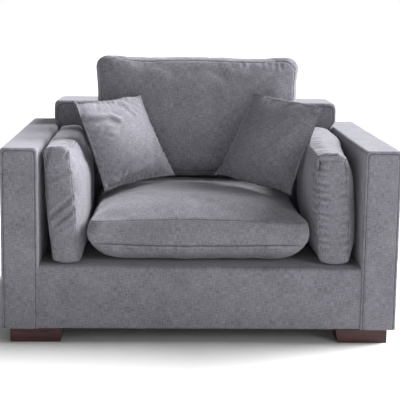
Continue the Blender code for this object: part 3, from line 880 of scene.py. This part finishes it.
def make_back_cushion(cloth, zip_tape):
    """A box cushion that leans on the back, with a bowed top."""
    name = "back_cushion"
    low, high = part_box("back_cushion_cover")
    up = RAKE
    front = Vector((0, -up.z, up.y))
    bulge = 0.019
    thickness = 0.188
    strip = 0.112
    taller = 0.018
    bow = 0.014
    bow_room = 0.008
    height = (high.z - low.z - strip * up.y) / up.z
    size = (high.x - low.x - 2 * bulge, height - 2 * bulge + taller, strip)
    middle = (low + high) / 2 - up * 0.003
    crown = (thickness - strip) / 2
    flat_topped = cushion_place(middle, (RIGHT, up, front), size, bulge, (0.030, 0.046),
                                (crown, crown), powers=((6.0, 6.0), (6.0, 8.0), (6.0, 6.0)))

    def place(points):
        u, v, _ = points.T
        return flat_topped(points) + np.outer(bow * (1 - u ** 2) * (1 + v) / 2, up)

    cushion = sewn_box(name, size, place)
    inflate(cushion, 0.03, 0.008)
    subdivide(cushion)
    soften(cushion, 29, lumps=0.0045, puckers=0.0014)
    top = middle + up * (size[1] / 2) + front * (strip / 2)
    gathers(cushion, top + RIGHT * 0.16, top + RIGHT * 0.34, -up * 0.030,
            count=7, depth=0.0032, seed=5.0)
    gathers(cushion, top - RIGHT * 0.36, top - RIGHT * 0.28, -up * 0.022,
            count=3, depth=0.0026, seed=6.0)
    gathers(cushion, top - RIGHT * 0.30, top + RIGHT * 0.30, -up * 0.020,
            count=12, depth=0.0012, seed=7.0)
    keep_inside(cushion, low, high + UP * bow_room)
    finish_cushion(cushion, name, cloth)
    zip_into(cushion, name, place, 0, (1, -1.0), zip_tape)


def side_creases(cushion, place, side):
    """The left cushion's front shows drag lines. The right one's is gathered, and turned over
    its top corner."""
    def front(w, v):
        """A point on the front strip: w from -1 at the arm to 1 at the seat, v up."""
        return Vector(place(np.array([[-1.0, v, w]]))[0])

    def inner(u, v):
        """A point on the panel that faces the seat: u from -1 at the front."""
        return Vector(place(np.array([[u, v, 1.0]]))[0])

    def top(u, w):
        """A point on the top strip."""
        return Vector(place(np.array([[u, 1.0, w]]))[0])

    if side < 0:
        drag_lines = ((-0.20, 0.15, 0.0110), (-0.42, -0.08, 0.0100), (-0.50, -0.26, 0.0060),
                      (0.45, 0.56, 0.0060))
        for outer_v, inner_v, depth in drag_lines:
            crease(cushion, front(-0.78, outer_v), front(0.96, inner_v), depth, 0.0068)
        crease(cushion, front(-0.50, 0.97), front(-0.82, 0.70), 0.009, 0.007)
        crease(cushion, front(0.95, 0.93), front(0.55, 0.80), 0.008, 0.006)
        gathers(cushion, inner(-0.97, 0.95), inner(-0.97, 0.45),
                inner(-0.85, 0.72) - inner(-0.97, 0.70), count=6, depth=0.006, seed=2.0)
    else:
        gathers(cushion, front(1.0, 0.85), front(1.0, -0.9), front(0.25, 0.0) - front(1.0, 0.02),
                count=13, depth=0.0065, seed=4.0, width=0.0062)
        gathers(cushion, front(-1.0, 0.80), front(-1.0, -0.85),
                front(-0.40, 0.0) - front(-1.0, 0.03), count=9, depth=0.0050, seed=8.0,
                width=0.0062)
        crease(cushion, front(0.96, 0.93), front(-0.96, 0.95), 0.007, 0.006)
        gathers(cushion, front(1.0, 0.96), front(-1.0, 0.96), front(0.0, 0.76) - front(0.0, 0.96),
                count=6, depth=0.0085, seed=9.0, width=0.0065)
        crease(cushion, front(0.98, 0.995), front(-0.98, 0.995), -0.007, 0.007)
        gathers(cushion, inner(-0.97, 0.9), inner(-0.97, -0.7),
                inner(-0.86, 0.0) - inner(-0.97, 0.0), count=11, depth=0.0050, seed=6.0,
                width=0.0062)
    gathers(cushion, top(-0.9, 1.0), top(0.3, 1.0), top(0.0, 0.3) - top(0.0, 1.0),
            count=12, depth=0.0036, seed=10.0 + side)
    gathers(cushion, inner(-0.9, 0.96), inner(0.3, 0.96), inner(0.0, 0.82) - inner(0.0, 0.96),
            count=12, depth=0.0030, seed=12.0 + side)


def make_side_cushion(side, ending, cloth, zip_tape):
    """A box cushion that stands on edge inside an arm, its gusset to the front."""
    name = f"side_cushion_{ending}"
    low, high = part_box(f"{name}_cover")
    bulge = 0.009
    cut = SIDE_CUSHIONS[ending]
    size = (high.y - low.y - 2 * bulge, high.z - low.z - 2 * bulge, cut["strip"])
    middle = (low + high) / 2
    inwards = -side * RIGHT
    upright = cushion_place(middle, (REARWARDS, UP, inwards), size, bulge, (0.014, 0.014),
                            (cut["outer_crown"], cut["inner_crown"]),
                            powers=((10.0, 8.0), (5.0, 2.2), (5.0, 3.0)))

    def place(points):
        u, v, w = points.T
        sag = cut["drop"] * ((1 - u) / 2) ** 2 * (1 + v) / 2
        # what is lost grows smoothly from none at u = -0.5 to all of its share at u = 0.5
        rearwards = np.clip(u + 0.5, 0, 1)
        kept = 1 - cut["lost"] * rearwards ** 2 * (3 - 2 * rearwards)
        across = (cut["shift"] + cut["lean"] * v) * kept
        across += cut["spread"] * ((1 - v) / 2) ** 4 * (1 + w) / 2
        return upright(points) + np.outer(across, inwards) - np.outer(sag, UP)

    cushion = sewn_box(name, size, place)
    inflate(cushion, 0.04, 0.008)
    subdivide(cushion)
    soften(cushion, 31 + side, lumps=0.004, puckers=0.0018)
    side_creases(cushion, place, side)
    room = inwards * cut["room"]
    keep_inside(cushion, low + room * (side > 0), high + room * (side < 0))
    finish_cushion(cushion, name, cloth)
    zip_into(cushion, name, place, 1, (0, 1.0), zip_tape)


def furthest(node, direction):
    """The point of a CAD node that lies furthest in a direction."""
    direction = Vector(direction)
    return max((v.co for v in frame["nodes"][node].data.vertices), key=direction.dot).copy()


def make_scatter_cushion(side, ending, cloth, zip_tape):
    """A square pillow that leans in a corner. Its rim is drawn in between the corners, and the
    right one's outer rim flops back."""
    name = f"scatter_cushion_{ending}"
    node = f"{name}_cover"
    outer_low = furthest(node, (side, -1, -1.6))
    inner_low = furthest(node, (-side, 0.4, -1))
    inner_high = furthest(node, (-0.5 * side, 1, 1))
    outer_high = furthest(node, (side, -1, 1.2))
    if side < 0:
        corners = (outer_low, inner_low, inner_high, outer_high)
    else:
        corners = (inner_low, outer_low, outer_high, inner_high)
    thickness = 0.128
    drawn_in = 0.085
    fullness = 0.62
    rise = UP * 0.008
    flop = 0.022 if side > 0 else 0.0
    flops_from = 0.35
    corners = [corner + rise for corner in corners]
    low_left, low_right, high_right, high_left = [np.array(corner) for corner in corners]
    normal = np.cross(low_right - high_left, high_right - low_left)
    normal = normal / np.linalg.norm(normal)

    def place(points):
        u, v, w = points.T
        across = ((u * (1 - drawn_in * (1 - v ** 2)) + 1) / 2)[:, None]
        up = ((v * (1 - drawn_in * (1 - u ** 2)) + 1) / 2)[:, None]
        low = low_left + (low_right - low_left) * across
        high = high_left + (high_right - high_left) * across
        swell = np.clip((1 - u ** 2) * (1 - v ** 2), 0, 1) ** fullness
        folded_back = 1 - np.clip((u - flops_from) / (1 - flops_from), 0, 1) ** 2
        lift = w * thickness / 2 * swell + flop * folded_back
        return low + (high - low) * up + normal * lift[:, None]

    piece = pillow(name, corners, thickness, place)
    inflate(piece, 0.035, 0.007)
    subdivide(piece)
    soften(piece, 41 + side, lumps=0.004, puckers=0.0024)
    scatter_creases(piece, side, ending, place)
    finish_cushion(piece, name, cloth)
    zip_into(piece, name, place, 0, (1, -1.0), zip_tape)


def scatter_creases(piece, side, ending, place):
    """The folds across a scatter cushion's face, and gathers round its rim."""
    def spot(u, v):
        return Vector(place(np.array([[u, v, 1.0]]))[0])

    for first, second, depth, width in SCATTER_FOLDS[ending]:
        crease(piece, spot(*first), spot(*second), depth, width)
    for index, (first, second) in enumerate(SCATTER_TUCKS[ending]):
        u, v = (first[0] + second[0]) / 2, (first[1] + second[1]) / 2
        away = spot(u * 0.7, v * 0.7) - spot(u, v)
        gathers(piece, spot(*first), spot(*second), away * 0.55,
                count=8, depth=0.006, seed=20.0 + index + side)
    rim = (((-0.9, 0.97), (0.9, 0.97)), ((-0.9, -0.97), (0.9, -0.97)),
           ((0.97, -0.9), (0.97, 0.9)), ((-0.97, -0.9), (-0.97, 0.9)))
    for index, (first, second) in enumerate(rim):
        u, v = (first[0] + second[0]) / 2, (first[1] + second[1]) / 2
        away = spot(u * 0.88, v * 0.88) - spot(u, v)
        gathers(piece, spot(*first), spot(*second), away,
                count=14, depth=0.0024, seed=30.0 + index + side, width=0.005)


# ------------------------------------------------------------- CAD nodes that stay


def repaint(name, material):
    for slot in frame["nodes"][name].material_slots:
        slot.material = material


def finish_feet():
    """Stained wood with softer edges."""
    wood = mahogany()
    for name in ("foot_front_left", "foot_front_right", "foot_rear_left", "foot_rear_right"):
        repaint(name, wood)
        bevel = frame["nodes"][name].modifiers.new("eased_edges", "BEVEL")
        bevel.width = 0.003
        bevel.segments = 3


def finish_inner_parts():
    """A material for each other CAD node that no piece stands for, by the word its name holds.
    What has none of the words is timber."""
    kinds = {
        "spring": spring_steel(),
        "strap": elastic_webbing(),
        "inner_panel": hardboard(),
        "dust_cover": lining(),
    }
    timber = pine()
    for name, node in frame["nodes"].items():
        if not (node.hide_render or name.startswith("foot_")):
            repaint(name, next((kinds[word] for word in kinds if word in name), timber))


# ------------------------------------------------------------------------ studio


def make_floor():
    """A floor just below the feet, far wider than any view."""
    mesh = bpy.data.meshes.new("studio_floor")
    form = bmesh.new()
    bmesh.ops.create_grid(form, x_segments=8, y_segments=8, size=60.0)
    form.to_mesh(mesh)
    form.free()
    mesh.materials.append(studio_floor())
    floor = bpy.data.objects.new("studio_floor", mesh)
    floor.location.z = -0.0005
    bpy.context.scene.collection.objects.link(floor)


def add_lamp(name, light, from_direction):
    """Hang a light that shines from a direction."""
    lamp = bpy.data.objects.new(name, light)
    lamp.rotation_mode = "QUATERNION"
    lamp.rotation_quaternion = from_direction.to_track_quat("Z", "Y")
    bpy.context.scene.collection.objects.link(lamp)
    return lamp


def make_lights():
    """A broad key from above, right and a little behind, and a weak soft box in front."""
    key = bpy.data.lights.new("key", "SUN")
    key.energy = 10.2
    key.angle = math.radians(42)
    add_lamp("key", key, Vector((0.74, 0.28, 0.52)))
    fill = bpy.data.lights.new("fill", "AREA")
    fill.energy = 20.0
    fill.size = 1.2
    place, aim = Vector((2.2, -2.6, 1.3)), Vector((0.0, 0.0, 0.5))
    add_lamp("fill", fill, place - aim).location = place


def make_surroundings():
    """White near the horizon and dimmer overhead."""
    band_from, band_to = 0.18, 0.40
    horizon, overhead = 1.0, 0.20
    world = bpy.data.worlds.new("studio")
    world.use_nodes = True
    tree = world.node_tree
    place = tree.nodes.new("ShaderNodeTexCoord")
    height = tree.nodes.new("ShaderNodeSeparateXYZ")
    fade = tree.nodes.new("ShaderNodeMapRange")
    fade.inputs["From Min"].default_value = band_from
    fade.inputs["From Max"].default_value = band_to
    fade.inputs["To Min"].default_value = horizon
    fade.inputs["To Max"].default_value = overhead
    tree.links.new(place.outputs["Generated"], height.inputs[0])
    tree.links.new(height.outputs["Z"], fade.inputs["Value"])
    tree.links.new(fade.outputs[0], tree.nodes["Background"].inputs["Strength"])
    tree.nodes["Background"].inputs["Color"].default_value = (1.0, 1.0, 1.0, 1.0)
    bpy.context.scene.world = world
    bpy.context.scene.view_settings.view_transform = "Standard"


def make_camera():
    """Straight in front, a little left of the middle, looking 9 degrees down."""
    place = (-0.1375, -4.0828, 1.1599)
    pitch = math.radians(9.01)
    yaw = math.radians(2.076)
    roll = math.radians(0.848)
    forward = Vector((math.sin(yaw) * math.cos(pitch), math.cos(yaw) * math.cos(pitch),
                      -math.sin(pitch)))
    level = Vector((math.cos(yaw), -math.sin(yaw), 0.0))
    upright = level.cross(forward)
    right = level * math.cos(roll) + upright * math.sin(roll)
    up = upright * math.cos(roll) - level * math.sin(roll)
    lens = bpy.data.cameras.new("camera")
    lens.lens = 96.55
    lens.sensor_width = 36.0
    lens.shift_y = -0.06
    camera = bpy.data.objects.new("camera", lens)
    turn = Matrix((right, up, -forward)).transposed().to_4x4()
    camera.matrix_world = Matrix.Translation(place) @ turn
    bpy.context.scene.collection.objects.link(camera)
    bpy.context.scene.camera = camera


def main():
    cloth = chenille()
    make_camera()
    make_lights()
    make_surroundings()
    make_floor()
    finish_feet()
    zip_tape = zip_teeth()
    for ending, side in (("left", -1), ("right", 1)):
        make_arm(side, ending, cloth)
        make_side_cushion(side, ending, cloth, zip_tape)
        make_scatter_cushion(side, ending, cloth, zip_tape)
    make_base(cloth)
    make_back(cloth)
    make_seat_cushion(cloth, zip_tape)
    make_back_cushion(cloth, zip_tape)
    finish_inner_parts()


main()
